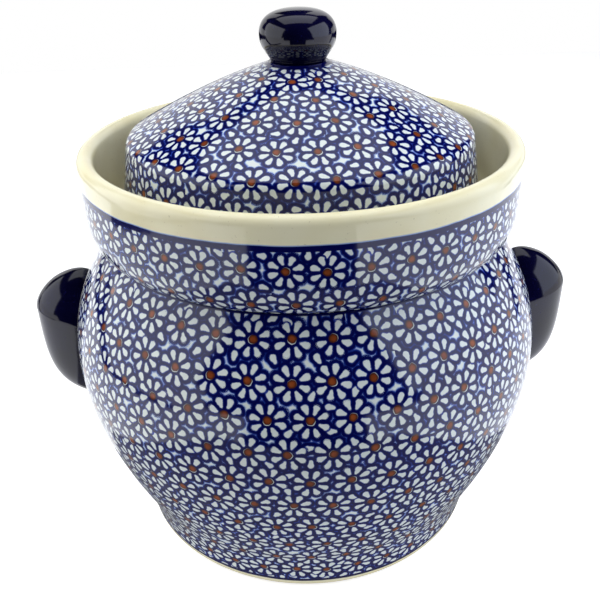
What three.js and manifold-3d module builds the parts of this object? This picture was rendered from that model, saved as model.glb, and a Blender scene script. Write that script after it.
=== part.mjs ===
// A stoneware fermentation crock with a water moat, a drop-in lid, lug handles and weighting stones.
// Millimetres, +Z up, the origin at the centre of the foot, one handle on each side along X.
import * as THREE from "three";
import { mergeVertices } from "three/addons/utils/BufferGeometryUtils.js";
import Module from "manifold-3d";

// Heights above the table
const WAIST_HEIGHT = 33;
const BELLY_HEIGHT = 107;
const SHOULDER_HEIGHT = 168;

// Radii of the body and of the rim
const FOOT_RADIUS = 95.6;
const WAIST_RADIUS = 106;
const BELLY_RADIUS = 125;
const RIM_RADIUS = 110;
const CREASE_DEPTH = 9.3; // how far the crease under the collar lies inside the rim
const COLLAR_DRAFT = 0.5; // how far the collar's lower edge lies inside the rim

// How full the belly's curves are, as shares of the height they span
const LOWER_FULLNESS = 0.58;
const UPPER_FULLNESS = 0.52;
const COLLAR_FULLNESS = 0.22;
const DOME_FULLNESS = 1.36; // power of the radius by which the lid's dome falls away

// The knob's curve, as shares of its heights and radii
const KNOB_FLANK_RISE = 0.28;
const KNOB_FLANK_SWELL = 0.25;
const KNOB_SWELL_RISE = 0.48;
const KNOB_CROWN_RISE = 0.62;
const KNOB_CROWN_WIDTH = 0.74;

// Walls
const WALL = 8.5;
const FLOOR_THICKNESS = 12;
const RIM_WALL = 8.2;
const NECK_WALL = 8;
const LID_WALL = 7;
const SHELF_THICKNESS = 11; // of the moat's floor

// Foot ring
const FOOT_WIDTH = 9;
const FOOT_RECESS = 2.5;
const FOOT_EDGE = 3;

// Moat, neck and lid
const COLLAR_HEIGHT = 46.5; // from the shoulder to the rim
const SHELF_RISE = 8; // the moat's floor lies this far above the shoulder
const MOAT_GAP = 9.6; // between the collar and the foot of the lid's skirt
const MOAT_COVE = 10; // height of the curve between the moat's floor and the collar
const COLLAR_TURN = 20; // height of the collar's rounded lower edge
const NECK_GAP = 7.7; // between the lid's skirt and the neck
const NECK_BELOW_RIM = 4;
const LID_ABOVE_RIM = 3.8; // the lid's shoulder stands this far above the rim
const SKIRT_DRAFT = 6; // the skirt is this much narrower at the lid's shoulder
const LID_SHOULDER = 3.5; // size of the rounded edge between dome and skirt
const DOME_RISE = 35;
const VENT_RADIUS = 6;

// Knob and the boss that carries it
const KNOB_HEIGHT = 23.4;
const KNOB_RADIUS = 18.3;
const KNOB_BASE_RADIUS = 13.5;
const KNOB_WIDEST_HEIGHT = 12.1;
const BOSS_DROP = 2.5; // the knob's flat seat lies this far below the dome's own peak
const BOSS_EDGE = 1; // the boss is this much wider than the knob's base
const BOSS_FILLET = 5; // width of the curve from the boss down to the dome

// Lug handles
const HANDLE_REACH = 21.7; // beyond the belly
const HANDLE_ROOT = 7; // the form's centre lies this far inside the belly
const HANDLE_BELOW_SHOULDER = 49; // down to the form's centre
const HANDLE_WIDTH = 40;
const HANDLE_RISE = 27;
const HANDLE_DROP = 48.5;
const HANDLE_LIFT = 9; // how far the tip lies above the form's centre
const HANDLE_TOP_EASE = 1.4; // powers by which the form is leaner at the top and blunter at the foot
const HANDLE_FOOT_EASE = 0.5;
const HANDLE_SIDE_EASE = 0.85;

// Weighting stones
const WEIGHT_THICKNESS = 22;
const WEIGHT_EDGE = 4;
const WEIGHT_SPLIT = 3; // gap between the two halves
const WEIGHT_CLEARANCE = 3; // all round, inside the mouth

// Clearances and resolution
const SEAT_GAP = 0.3;
const TURNS = 48;
const KNOB_TURNS = 32;
const HANDLE_TURNS = 28;
const HANDLE_RINGS = 24;
const VENT_SIDES = 16;
const CURVE_STEPS = 5;
const DOME_STEPS = 10;
const EDGE_STEPS = 2;
const STONE_STEPS = 16;
const MERGE_DISTANCE = 1e-3;

// Places that follow from the sizes
const creaseRadius = RIM_RADIUS - CREASE_DEPTH;
const collarBore = RIM_RADIUS - RIM_WALL;
const skirtRadius = collarBore - MOAT_GAP;
const skirtBore = skirtRadius - LID_WALL;
const neckRadius = skirtBore - NECK_GAP;
const mouthRadius = neckRadius - NECK_WALL;
const shelfRadius = skirtRadius + SEAT_GAP;
const rimHeight = SHOULDER_HEIGHT + COLLAR_HEIGHT;
const moatFloor = SHOULDER_HEIGHT + SHELF_RISE;
const neckTop = rimHeight - NECK_BELOW_RIM;
const lidShoulderHeight = rimHeight + LID_ABOVE_RIM;
const lidShoulderRadius = skirtRadius - SKIRT_DRAFT;
const lidTop = lidShoulderHeight + DOME_RISE;
const bossTop = lidTop - BOSS_DROP;
const bossRadius = KNOB_BASE_RADIUS + BOSS_EDGE;
const innerWaist = WAIST_RADIUS - WALL;
const weightRadius = Math.min(mouthRadius, innerWaist) - WEIGHT_CLEARANCE;

const wasm = await Module();
wasm.setup();

// Turns an outline of radius and height about the Z axis.
function turned(outline, turns = TURNS) {
  const points = outline.getPoints(CURVE_STEPS);
  return new THREE.LatheGeometry(points, turns).rotateX(Math.PI / 2);
}

// A closed geometry as a solid that can be cut.
function solidOf(geometry) {
  const bare = new THREE.BufferGeometry();
  bare.setAttribute("position", geometry.getAttribute("position"));
  bare.setIndex(geometry.index);
  const merged = mergeVertices(bare, MERGE_DISTANCE);
  const vertProperties = merged.getAttribute("position").array;
  const triVerts = new Uint32Array(merged.index.array);
  return new wasm.Manifold(new wasm.Mesh({ numProp: 3, vertProperties, triVerts }));
}

// A solid as a geometry again.
function geometryOf(solid) {
  const mesh = solid.getMesh();
  const geometry = new THREE.BufferGeometry();
  geometry.setAttribute("position", new THREE.BufferAttribute(mesh.vertProperties, mesh.numProp));
  geometry.setIndex(new THREE.BufferAttribute(mesh.triVerts, 1));
  geometry.computeVertexNormals();
  return geometry;
}

// Glazed or bare stoneware of one colour.
function stoneware(color, roughness) {
  return new THREE.MeshStandardMaterial({ color, roughness, metalness: 0 });
}

const stampedBlue = stoneware(0x4c5a8f, 0.15);
const cobalt = stoneware(0x0c1038, 0.1);
const ivory = stoneware(0xeee6c8, 0.2);
const bareClay = stoneware(0xd9cdb0, 0.8);

const crock = new THREE.Group();

function place(name, geometry, material) {
  const mesh = new THREE.Mesh(geometry, material);
  mesh.name = name;
  crock.add(mesh);
  return mesh;
}

// The wall's outside, from the foot up to the crease, drawn further out by a margin.
function drawOutside(outline, margin) {
  const lowerControl = THREE.MathUtils.lerp(WAIST_HEIGHT, BELLY_HEIGHT, LOWER_FULLNESS);
  const upperControl = THREE.MathUtils.lerp(BELLY_HEIGHT, SHOULDER_HEIGHT, UPPER_FULLNESS);
  const belly = BELLY_RADIUS + margin;
  outline.lineTo(FOOT_RADIUS - FOOT_EDGE + margin, 0);
  outline.quadraticCurveTo(FOOT_RADIUS + margin, 0, FOOT_RADIUS + FOOT_EDGE / 2 + margin, FOOT_EDGE);
  outline.lineTo(WAIST_RADIUS + margin, WAIST_HEIGHT);
  outline.quadraticCurveTo(belly, lowerControl, belly, BELLY_HEIGHT);
  outline.quadraticCurveTo(belly, upperControl, creaseRadius + margin, SHOULDER_HEIGHT);
}

// The wall's inside, from the mouth down to the middle of the floor.
function drawInside(outline) {
  const belly = BELLY_RADIUS - WALL;
  const ceiling = moatFloor - SHELF_THICKNESS;
  const upperControl = SHOULDER_HEIGHT - WALL;
  const lowerControl = THREE.MathUtils.lerp(WAIST_HEIGHT, BELLY_HEIGHT, LOWER_FULLNESS);
  outline.lineTo(mouthRadius, ceiling);
  outline.quadraticCurveTo(belly, upperControl, belly, BELLY_HEIGHT);
  outline.quadraticCurveTo(belly, lowerControl, innerWaist, WAIST_HEIGHT + WALL / 2);
  outline.quadraticCurveTo(innerWaist - WALL / 2, FLOOR_THICKNESS, weightRadius, FLOOR_THICKNESS);
  outline.lineTo(0, FLOOR_THICKNESS);
}

// Jar with its foot ring and its shoulder, which is the seat of the collar and the moat's floor
function crockBody() {
  const outline = new THREE.Path();
  const footInside = FOOT_RADIUS - FOOT_WIDTH;
  outline.moveTo(0, FOOT_RECESS);
  outline.lineTo(footInside - FOOT_RECESS, FOOT_RECESS);
  outline.lineTo(footInside, 0);
  drawOutside(outline, 0);
  outline.lineTo(shelfRadius, SHOULDER_HEIGHT);
  outline.lineTo(shelfRadius, moatFloor);
  outline.lineTo(mouthRadius, moatFloor);
  drawInside(outline);
  return turned(outline);
}

// Inner ring of the moat, round the mouth
function neckRing() {
  const outline = new THREE.Path();
  const base = moatFloor + SEAT_GAP;
  const lip = NECK_WALL / 2;
  outline.moveTo(mouthRadius, base);
  outline.lineTo(neckRadius, base);
  outline.lineTo(neckRadius, neckTop - lip);
  outline.absarc(neckRadius - lip, neckTop - lip, lip, 0, Math.PI);
  outline.lineTo(mouthRadius, base);
  return turned(outline);
}

// Outer ring of the moat, seated on the shoulder
function moatCollar() {
  const outline = new THREE.Path();
  const base = SHOULDER_HEIGHT + SEAT_GAP;
  const bore = shelfRadius + SEAT_GAP;
  const lowRadius = RIM_RADIUS - COLLAR_DRAFT;
  const lowBore = lowRadius - RIM_WALL;
  const lip = RIM_WALL / 2;
  outline.moveTo(bore, base);
  outline.lineTo(creaseRadius, base);
  outline.quadraticCurveTo(lowRadius, base + COLLAR_FULLNESS * COLLAR_TURN, lowRadius, base + COLLAR_TURN);
  outline.lineTo(RIM_RADIUS, rimHeight - lip);
  outline.absarc(RIM_RADIUS - lip, rimHeight - lip, lip, 0, Math.PI);
  outline.lineTo(lowBore, moatFloor + MOAT_COVE);
  outline.quadraticCurveTo(lowBore, moatFloor, bore, moatFloor);
  outline.lineTo(bore, base);
  return turned(outline);
}

// Height of the lid's dome at a radius, between its peak and its shoulder
function domeHeight(radius) {
  return lidTop - DOME_RISE * (radius / lidShoulderRadius) ** DOME_FULLNESS;
}

// Draws the dome between two radii, lowered by a depth.
function drawDome(outline, from, to, depth) {
  for (let i = 1; i <= DOME_STEPS; i++) {
    const radius = THREE.MathUtils.lerp(from, to, i / DOME_STEPS);
    outline.lineTo(radius, domeHeight(radius) - depth);
  }
}

// Lid shell: a dome over a skirt that stands on the moat's floor
function lidDome() {
  const outline = new THREE.Path();
  const foot = moatFloor + SEAT_GAP;
  const bossFoot = bossRadius + BOSS_FILLET;
  const edge = lidShoulderRadius - LID_SHOULDER;
  const innerShoulder = lidShoulderRadius - LID_WALL;
  const innerEdge = innerShoulder - LID_SHOULDER;
  const knee = domeHeight(innerShoulder) - LID_WALL;
  outline.moveTo(0, domeHeight(0) - LID_WALL);
  drawDome(outline, 0, innerEdge, LID_WALL);
  outline.quadraticCurveTo(innerShoulder, knee, innerShoulder, knee - LID_SHOULDER);
  outline.lineTo(skirtBore, foot);
  outline.lineTo(skirtRadius, foot);
  outline.lineTo(lidShoulderRadius, lidShoulderHeight - LID_SHOULDER);
  outline.quadraticCurveTo(lidShoulderRadius, lidShoulderHeight, edge, domeHeight(edge));
  drawDome(outline, edge, bossFoot, 0);
  outline.quadraticCurveTo(bossRadius, domeHeight(bossRadius), bossRadius, bossTop);
  outline.lineTo(0, bossTop);
  const ventLength = 2 * (skirtRadius + LID_WALL);
  const vent = new THREE.CylinderGeometry(VENT_RADIUS, VENT_RADIUS, ventLength, VENT_SIDES);
  vent.translate(0, 0, foot);
  return geometryOf(solidOf(turned(outline)).subtract(solidOf(vent)));
}

// Knob seated on the flat boss at the top of the dome
function lidKnob() {
  const outline = new THREE.Path();
  const base = bossTop + SEAT_GAP;
  const widest = base + KNOB_WIDEST_HEIGHT;
  const top = base + KNOB_HEIGHT;
  const flankHeight = THREE.MathUtils.lerp(base, widest, KNOB_FLANK_RISE);
  const flank = THREE.MathUtils.lerp(KNOB_BASE_RADIUS, KNOB_RADIUS, KNOB_FLANK_SWELL);
  const swell = THREE.MathUtils.lerp(base, widest, KNOB_SWELL_RISE);
  const crown = THREE.MathUtils.lerp(widest, top, KNOB_CROWN_RISE);
  outline.moveTo(0, base);
  outline.lineTo(KNOB_BASE_RADIUS, base);
  outline.bezierCurveTo(flank, flankHeight, KNOB_RADIUS, swell, KNOB_RADIUS, widest);
  outline.bezierCurveTo(KNOB_RADIUS, crown, KNOB_RADIUS * KNOB_CROWN_WIDTH, top, 0, top);
  return turned(outline, KNOB_TURNS);
}

// A power that keeps the sign
function eased(value, power) {
  return Math.sign(value) * Math.abs(value) ** power;
}

// Lug handle: an ear-like form on +X, lean at the top and blunt at the foot, cut to the belly
function lugHandle() {
  const form = new THREE.SphereGeometry(1, HANDLE_TURNS, HANDLE_RINGS).rotateX(Math.PI / 2);
  const points = form.getAttribute("position");
  const depth = HANDLE_ROOT + HANDLE_REACH;
  for (let i = 0; i < points.count; i++) {
    const turn = Math.atan2(points.getY(i), points.getX(i));
    const ring = Math.min(1, Math.hypot(points.getX(i), points.getY(i)));
    const above = points.getZ(i) > 0;
    const ease = above ? HANDLE_TOP_EASE : HANDLE_FOOT_EASE;
    const spread = ring < MERGE_DISTANCE ? 0 : ring ** ease;
    const up = eased(points.getZ(i), ease);
    const out = spread * eased(Math.cos(turn), HANDLE_SIDE_EASE);
    const side = spread * eased(Math.sin(turn), HANDLE_SIDE_EASE);
    const height = (above ? HANDLE_RISE : HANDLE_DROP) * up + HANDLE_LIFT * out;
    points.setXYZ(i, depth * out, (HANDLE_WIDTH / 2) * side, height);
  }
  form.translate(BELLY_RADIUS - HANDLE_ROOT, 0, SHOULDER_HEIGHT - HANDLE_BELOW_SHOULDER);
  const belly = new THREE.Path();
  belly.moveTo(0, 0);
  drawOutside(belly, SEAT_GAP);
  belly.lineTo(0, SHOULDER_HEIGHT);
  return geometryOf(solidOf(form).subtract(solidOf(turned(belly))));
}

// Half-moon stone on the +X side of the floor
function weightStone() {
  const outline = new THREE.Shape();
  const flat = WEIGHT_SPLIT / 2 + WEIGHT_EDGE;
  const radius = weightRadius - WEIGHT_EDGE;
  const half = Math.acos(flat / radius);
  outline.absarc(0, 0, radius, -half, half);
  outline.closePath();
  const stone = new THREE.ExtrudeGeometry(outline, {
    depth: WEIGHT_THICKNESS - 2 * WEIGHT_EDGE,
    bevelThickness: WEIGHT_EDGE,
    bevelSize: WEIGHT_EDGE,
    bevelSegments: EDGE_STEPS,
    curveSegments: STONE_STEPS,
  });
  return stone.translate(0, 0, FLOOR_THICKNESS + SEAT_GAP + WEIGHT_EDGE);
}

place("crock_body", crockBody(), stampedBlue);
place("neck_ring", neckRing(), ivory);
place("moat_collar", moatCollar(), ivory);
place("lid_dome", lidDome(), stampedBlue);
place("lid_knob", lidKnob(), cobalt);
for (const [side, turn] of [["right", 0], ["left", Math.PI]]) {
  place("handle_" + side, lugHandle(), cobalt).rotation.z = turn;
  place("weight_" + side, weightStone(), bareClay).rotation.z = turn;
}

export default crock;
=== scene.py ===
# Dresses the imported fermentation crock: smooth glazed forms, stamped flowers, studio light and camera.
import math

import bpy
import numpy as np
from mathutils import Matrix, Vector


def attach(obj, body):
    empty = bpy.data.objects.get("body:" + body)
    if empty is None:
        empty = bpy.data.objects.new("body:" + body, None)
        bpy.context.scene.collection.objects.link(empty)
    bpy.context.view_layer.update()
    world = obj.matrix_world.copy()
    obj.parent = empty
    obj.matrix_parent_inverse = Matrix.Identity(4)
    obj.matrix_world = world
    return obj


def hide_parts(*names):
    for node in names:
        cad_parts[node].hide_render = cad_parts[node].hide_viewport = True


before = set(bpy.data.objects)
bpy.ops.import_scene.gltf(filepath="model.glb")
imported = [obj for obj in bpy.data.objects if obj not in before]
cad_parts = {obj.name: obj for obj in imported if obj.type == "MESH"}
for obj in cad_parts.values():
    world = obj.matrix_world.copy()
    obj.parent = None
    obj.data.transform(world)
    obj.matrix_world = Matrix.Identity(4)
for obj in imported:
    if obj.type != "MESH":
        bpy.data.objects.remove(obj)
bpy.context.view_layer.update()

# Sizes in millimetres, the same as in the part's source
WAIST_HEIGHT = 33
BELLY_HEIGHT = 107
SHOULDER_HEIGHT = 168
FOOT_RADIUS = 95.6
WAIST_RADIUS = 106
BELLY_RADIUS = 125
RIM_RADIUS = 110
CREASE_DEPTH = 9.3
COLLAR_DRAFT = 0.5
LOWER_FULLNESS = 0.58
UPPER_FULLNESS = 0.52
COLLAR_FULLNESS = 0.22
DOME_FULLNESS = 1.36
KNOB_FLANK_RISE = 0.28
KNOB_FLANK_SWELL = 0.25
KNOB_SWELL_RISE = 0.48
KNOB_CROWN_RISE = 0.62
KNOB_CROWN_WIDTH = 0.74
WALL = 8.5
FLOOR_THICKNESS = 12
RIM_WALL = 8.2
NECK_WALL = 8
LID_WALL = 7
SHELF_THICKNESS = 11
FOOT_WIDTH = 9
FOOT_RECESS = 2.5
FOOT_EDGE = 3
COLLAR_HEIGHT = 46.5
SHELF_RISE = 8
MOAT_GAP = 9.6
MOAT_COVE = 10
COLLAR_TURN = 20
NECK_GAP = 7.7
NECK_BELOW_RIM = 4
LID_ABOVE_RIM = 3.8
SKIRT_DRAFT = 6
LID_SHOULDER = 3.5
DOME_RISE = 35
VENT_RADIUS = 6
KNOB_HEIGHT = 23.4
KNOB_RADIUS = 18.3
KNOB_BASE_RADIUS = 13.5
KNOB_WIDEST_HEIGHT = 12.1
BOSS_DROP = 2.5
BOSS_EDGE = 1
BOSS_FILLET = 5
HANDLE_REACH = 21.7
HANDLE_ROOT = 7
HANDLE_BELOW_SHOULDER = 49
HANDLE_WIDTH = 40
HANDLE_RISE = 27
HANDLE_DROP = 48.5
HANDLE_LIFT = 9
HANDLE_TOP_EASE = 1.4
HANDLE_FOOT_EASE = 0.5
HANDLE_SIDE_EASE = 0.85
WEIGHT_THICKNESS = 22
WEIGHT_EDGE = 4
WEIGHT_SPLIT = 3
WEIGHT_CLEARANCE = 3
SEAT_GAP = 0.3

# Values that only the scene has, in millimetres
FOOT_FLARE = 0.42  # share of the waist's height
SKIRT_EDGE = 1.2
SKIRT_MARGIN = 4  # what lies further inside than this stays level over the notches
KNOB_EDGE = 0.8
KNOB_EDGE_FLARE = 0.05
GROOVE_RISE = 0.42  # share of the knob's widest height
GROOVE_DEPTH = 0.22
GROOVE_WIDTH = 0.45

# Places that follow from the sizes
crease_radius = RIM_RADIUS - CREASE_DEPTH
collar_bore = RIM_RADIUS - RIM_WALL
skirt_radius = collar_bore - MOAT_GAP
skirt_bore = skirt_radius - LID_WALL
neck_radius = skirt_bore - NECK_GAP
mouth_radius = neck_radius - NECK_WALL
shelf_radius = skirt_radius + SEAT_GAP
lower_bend = WAIST_HEIGHT + (BELLY_HEIGHT - WAIST_HEIGHT) * LOWER_FULLNESS
upper_bend = BELLY_HEIGHT + (SHOULDER_HEIGHT - BELLY_HEIGHT) * UPPER_FULLNESS
rim_height = SHOULDER_HEIGHT + COLLAR_HEIGHT
moat_floor = SHOULDER_HEIGHT + SHELF_RISE
skirt_foot = moat_floor + SEAT_GAP
neck_top = rim_height - NECK_BELOW_RIM
lid_shoulder_height = rim_height + LID_ABOVE_RIM
lid_shoulder_radius = skirt_radius - SKIRT_DRAFT
lid_top = lid_shoulder_height + DOME_RISE
boss_top = lid_top - BOSS_DROP
boss_radius = KNOB_BASE_RADIUS + BOSS_EDGE
inner_waist = WAIST_RADIUS - WALL
weight_radius = min(mouth_radius, inner_waist) - WEIGHT_CLEARANCE

# Resolution of the smooth forms
MM = 0.001
TINY = 1e-6
TURNS = 288
KNOB_TURNS = 120
STEP = 2.4
FINE_STEP = 0.8
PLAIN_STEP = 4
LONG_STEP = 20
INNER_DOME_RINGS = 24
DOME_RINGS = 26
NOTCH_COLUMNS = 20  # added at each side of a gas notch
NOTCH_STEP = 0.28  # degrees from one to the next
LEAST_TURN = math.radians(0.12)
LUG_RINGS = 150
LUG_COLUMNS = 96
STONE_ARC_POINTS = 72
STONE_FLAT_POINTS = 40
STONE_CORNER_POINTS = 8
STONE_EDGE_LEVELS = 7
SHARP_ANGLE = math.radians(42)

# Faces of the glazed forms
STAMPED, IVORY, CLAY = 0, 1, 2

# Rows of stamped flowers: height, number in the row, angle of one flower from the front in degrees
BODY_ROWS = [
    (159.4, 40, 3.1), (144.2, 42, 2.2), (129.1, 42, 6.2), (113.6, 43, 1.7), (97.6, 43, 5.7),
    (81.4, 43, 1.8), (64.4, 42, 6.5), (47.2, 39, 0.8), (31.0, 38, -2.9), (16.4, 39, 1.6),
]
COLLAR_ROWS = [(191.9, 40, 1.7), (175.5, 37, 4.5)]
LID_ROWS = [
    (246.5, 11, -12.1), (241.2, 13, 7.0), (234.9, 20, 13.0), (227.1, 26, 2.8), (219.6, 30, 7.0),
    (204.0, 31, 1.5), (187.5, 32, 6.0),
]
BODY_SEED, COLLAR_SEED, LID_SEED = 11, 12, 13
BODY_FIELD = (7, 166.5)  # heights between which single petals fill the gaps
COLLAR_FIELD = (169, 199.5)
LID_FIELD = (180, 249)
CREAM_LINE = 203.0  # height where the cream rim begins
FOOT_LINE = 5.2  # height of the lower border of the stamped field
FAR = 100.0
# Lower and upper border of each stamped field; the lid has no lower one
BODY_BORDERS = (FOOT_LINE, SHOULDER_HEIGHT + 1.8)
COLLAR_BORDERS = (SHOULDER_HEIGHT - 1.2, CREAM_LINE)
LID_BORDERS = (-FAR, boss_top + 1.4)
SMALL_STAMP = 0.93  # size of the stamps on collar and lid
FLAT_HEIGHT = lid_shoulder_height + 4  # flowers above it lie flat on the dome
NEAR_FLOWERS = 4  # flowers that each face can show
ROW_JITTER = 0.45
HEIGHT_JITTER = 0.4
TILT_JITTER = math.radians(4)
GAP_ROOM = 9.7  # a single petal fills a gap with this much room to the nearest flowers
BORDER_ROOM = 7.6  # the same close to a border
BORDER_STRIP = 4.0
PETAL_SPACING = 5.9
FILL_TRIES = 26000
CHUNK = 2000  # places that are measured at a time
NUDGE = 0.5  # way to each side over which an outline's direction is measured

# One flower in millimetres; a pair is where a mask begins and where it is full
PETALS = 8
PETAL_SHAPE = (4.35, 6.98, 0.72, 1.56)  # start, end, narrow radius, broad radius
SINGLE_SHAPE = (-1.1, 1.0, 0.75, 1.4)
PETAL_SIZE = 0.87
PETAL_SIZE_SPREAD = 0.1
PETAL_SCATTER = 57.0  # spreads a flower's chance over its petals
PETAL_EDGE = (0.22, -0.2)
PETAL_COVER = (1.15, 0.9)
CORE = (4.7, 4.3)
PALE_DISC = (2.0, 1.75)
DOT = (2.15, 1.8)
DOT_HEART = (2.0, 0.7)
DOT_SCATTER = 40.0  # spreads it over the dot's directions
DOT_ASIDE = 0.32
DOT_UP = 0.16
DOT_UP_SPREAD = 0.3
WAVER = 0.55
LINE_WIDTH = 2.2  # blue line round a petal
LINE = (LINE_WIDTH + 0.22, LINE_WIDTH - 0.1)
HALO = (LINE_WIDTH + 0.75, LINE_WIDTH + 0.15)
HALO_STRENGTH = 0.85
INNER_BLEED = (0.75, 0.0)
OUTER_BLEED = (LINE_WIDTH - 0.8, LINE_WIDTH)
TOP_BAND = (2.7, 2.3)
FOOT_BAND = (2.3, 1.9)
BORDER_EDGE = (0.15, -0.15)
BORDER_FRINGE = (-0.1, -0.7)
BORDER_WAVER = 0.9


def srgb(red, green, blue):
    """A colour of 0 to 255 as linear values with alpha."""
    values = []
    for part in (red, green, blue):
        c = part / 255
        values.append(c / 12.92 if c <= 0.04045 else ((c + 0.055) / 1.055) ** 2.4)
    return (*values, 1.0)


# Colours of the glazes and the clay
CREAM = srgb(244, 237, 202)
WARM_CREAM = srgb(238, 228, 184)
CREAM_SPECK = srgb(176, 160, 120)
PETAL = srgb(225, 231, 225)
PALE_BLUE = srgb(128, 158, 216)
COBALT = srgb(4, 7, 74)
INK = srgb(40, 66, 166)
RUST = srgb(150, 74, 36)
DARK_RUST = srgb(122, 56, 26)
DOT_RIM = srgb(62, 34, 26)
NAVY = srgb(4, 4, 24)
NAVY_POOL = srgb(9, 8, 44)
NAVY_SPECK = srgb(30, 30, 96)
PALE_CLAY = srgb(226, 214, 184)
WARM_CLAY = srgb(212, 198, 166)
CLAY_GRAIN = srgb(170, 150, 116)

# Surfaces
GLAZE_IOR = 1.5
GLAZE_ROUGHNESS = 0.09
IVORY_ROUGHNESS = 0.12
COBALT_ROUGHNESS = 0.1
GLAZE_SWELL = 0.25
COBALT_SWELL = 0.2
CLAY_RELIEF = 0.4
RELIEF_DEPTH = 0.0004
CLAY_ROUGHNESS = 0.7
CLAY_ROUGHNESS_SPREAD = 0.2
CREAM_SPECK_STRENGTH = 0.35
NAVY_SPECK_STRENGTH = 0.3
CLAY_GRAIN_STRENGTH = 0.5
BLEED_STRENGTH = 0.35
BLEED_SPREAD = 0.5

# Noises of the surfaces: scale and detail
CREAM_CLOUDS = (28.0, 3.0)
CREAM_SPECKS = (900.0, 1.0)
GLAZE_RIPPLE = (70.0, 2.0)
EDGE_WAVER = (420.0, 2.0)
MOTTLE = (160.0, 3.0)
RAGGED = (60.0, 2.0)
NAVY_POOLS = (45.0, 3.0)
NAVY_SPECKS = (650.0, 1.0)
CLAY_GRAINS = (700.0, 4.0)
CLAY_CLOUDS = (40.0, 3.0)

# Stretches of a noise over which its mask rises
CLOUD_RISE = (0.3, 0.7)
PATCH_RISE = (0.35, 0.65)
CREAM_SPECK_RISE = (0.70, 0.78)
NAVY_SPECK_RISE = (0.68, 0.76)
CLAY_GRAIN_RISE = (0.6, 0.75)

# Studio in metres
WHITE = (1.0, 1.0, 1.0, 1.0)
BLACK = (0.0, 0.0, 0.0, 1.0)
FLOOR_GREY = (0.55, 0.55, 0.55, 1.0)
FLOOR_ROUGHNESS = 0.9
FLOOR_GLOW = 0.76
FLOOR_SIZE = 2.6
AMBIENT = 0.03
AIM = (0.0, 0.0, 0.13)
DAYLIGHT = (0.97, 0.995, 1.04)
COOL_LIGHT = (0.92, 0.99, 1.14)
PANEL_DISTANCE = 0.6
PANEL_HEIGHT = 0.2
PANEL_GLOW = 1.3
# Glows of the cards that are painted shade: the shaded floor in front and the shadow round the foot
FLOOR_SHADE_GLOW = 0.3
FOOT_SHADOW_GLOW = 0.2
ROOM_RADIUS = 2.4
ROOM_COLUMNS = 60
ROOM_RINGS = 15
# Gaps in the dark room: first ring, ring after the last, least and most degrees from the back
ROOM_GAPS = [(0, 2, 0, 64), (2, 5, 0, 42), (5, 8, 10, 28)]

# Camera at the photograph's place
PART_TURN = math.radians(3.3)
DISTANCE = 0.41636
ELEVATION = math.radians(28.73)
AIM_HEIGHT = 0.11962
YAW = math.radians(-0.30)
ROLL = math.radians(-1.33)
LENS = 44.2
SENSOR_WIDTH = 36
NEAREST = 0.01


def new_mesh(name, places, faces, *materials):
    mesh = bpy.data.meshes.new(name)
    mesh.from_pydata(places, [], faces)
    for material in materials:
        mesh.materials.append(material)
    return mesh


def new_object(name, data):
    obj = bpy.data.objects.new(name, data)
    bpy.context.scene.collection.objects.link(obj)
    return obj


def smooth(mesh):
    """Smooth shading that keeps the sharp edges."""
    mesh.polygons.foreach_set("use_smooth", np.ones(len(mesh.polygons), dtype=bool))
    mesh.set_sharp_from_angle(angle=SHARP_ANGLE)


def quad(i, j, columns):
    """The face between ring i and the next one, at column j."""
    k = (j + 1) % columns
    return (i * columns + j, i * columns + k, (i + 1) * columns + k, (i + 1) * columns + j)


def tube_faces(rings, columns):
    return [quad(i, j, columns) for i in range(rings) for j in range(columns)]


class Outline:
    """A turned outline of radius and height, with the kind of face that each stretch makes."""

    def __init__(self, start):
        self.points = [start]
        self.kinds = []

    def _add(self, points, kind):
        for point in points:
            self.points.append((float(point[0]), float(point[1])))
            self.kinds.append(kind)

    def line(self, end, kind, step=STEP):
        start = np.array(self.points[-1])
        end = np.array(end)
        count = max(1, math.ceil(np.linalg.norm(end - start) / step))
        self._add([start + (end - start) * i / count for i in range(1, count + 1)], kind)

    def curve(self, control, end, kind, step=STEP, least=4):
        start, control, end = np.array(self.points[-1]), np.array(control), np.array(end)
        length = np.linalg.norm(control - start) + np.linalg.norm(end - control)
        count = max(least, math.ceil(length / step))
        ts = [i / count for i in range(1, count + 1)]
        self._add([(1 - t) ** 2 * start + 2 * t * (1 - t) * control + t * t * end for t in ts], kind)

    def cubic(self, one, two, end, kind, step=STEP, least=6):
        a, b, c, d = (np.array(p) for p in (self.points[-1], one, two, end))
        length = np.linalg.norm(b - a) + np.linalg.norm(c - b) + np.linalg.norm(d - c)
        count = max(least, math.ceil(length / step))
        for i in range(1, count + 1):
            t = i / count
            s = 1 - t
            self._add([s ** 3 * a + 3 * s * s * t * b + 3 * s * t * t * c + t ** 3 * d], kind)

    def half_round(self, centre, radius, kind, count=14):
        """Over the top from the outside to the inside."""
        for i in range(1, count + 1):
            angle = math.pi * i / count
            self._add([(centre[0] + radius * math.cos(angle), centre[1] + radius * math.sin(angle))], kind)


def draw_outside(outline, margin=0.0):
    """The jar's outside from the foot up to the crease."""
    belly = BELLY_RADIUS + margin
    slope = (BELLY_RADIUS - WAIST_RADIUS) / (lower_bend - WAIST_HEIGHT)
    flare = FOOT_FLARE * WAIST_HEIGHT
    foot = FOOT_RADIUS + margin
    foot_side = FOOT_RADIUS + FOOT_EDGE / 2 + margin
    bend = (WAIST_RADIUS - slope * flare + margin, WAIST_HEIGHT - flare)
    outline.line((FOOT_RADIUS - FOOT_EDGE + margin, 0), CLAY)
    outline.curve((foot, 0), (foot_side, FOOT_EDGE), CLAY, FINE_STEP)
    outline.curve(bend, (WAIST_RADIUS + margin, WAIST_HEIGHT), STAMPED)
    outline.curve((belly, lower_bend), (belly, BELLY_HEIGHT), STAMPED)
    outline.curve((belly, upper_bend), (crease_radius + margin, SHOULDER_HEIGHT), STAMPED)


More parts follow.
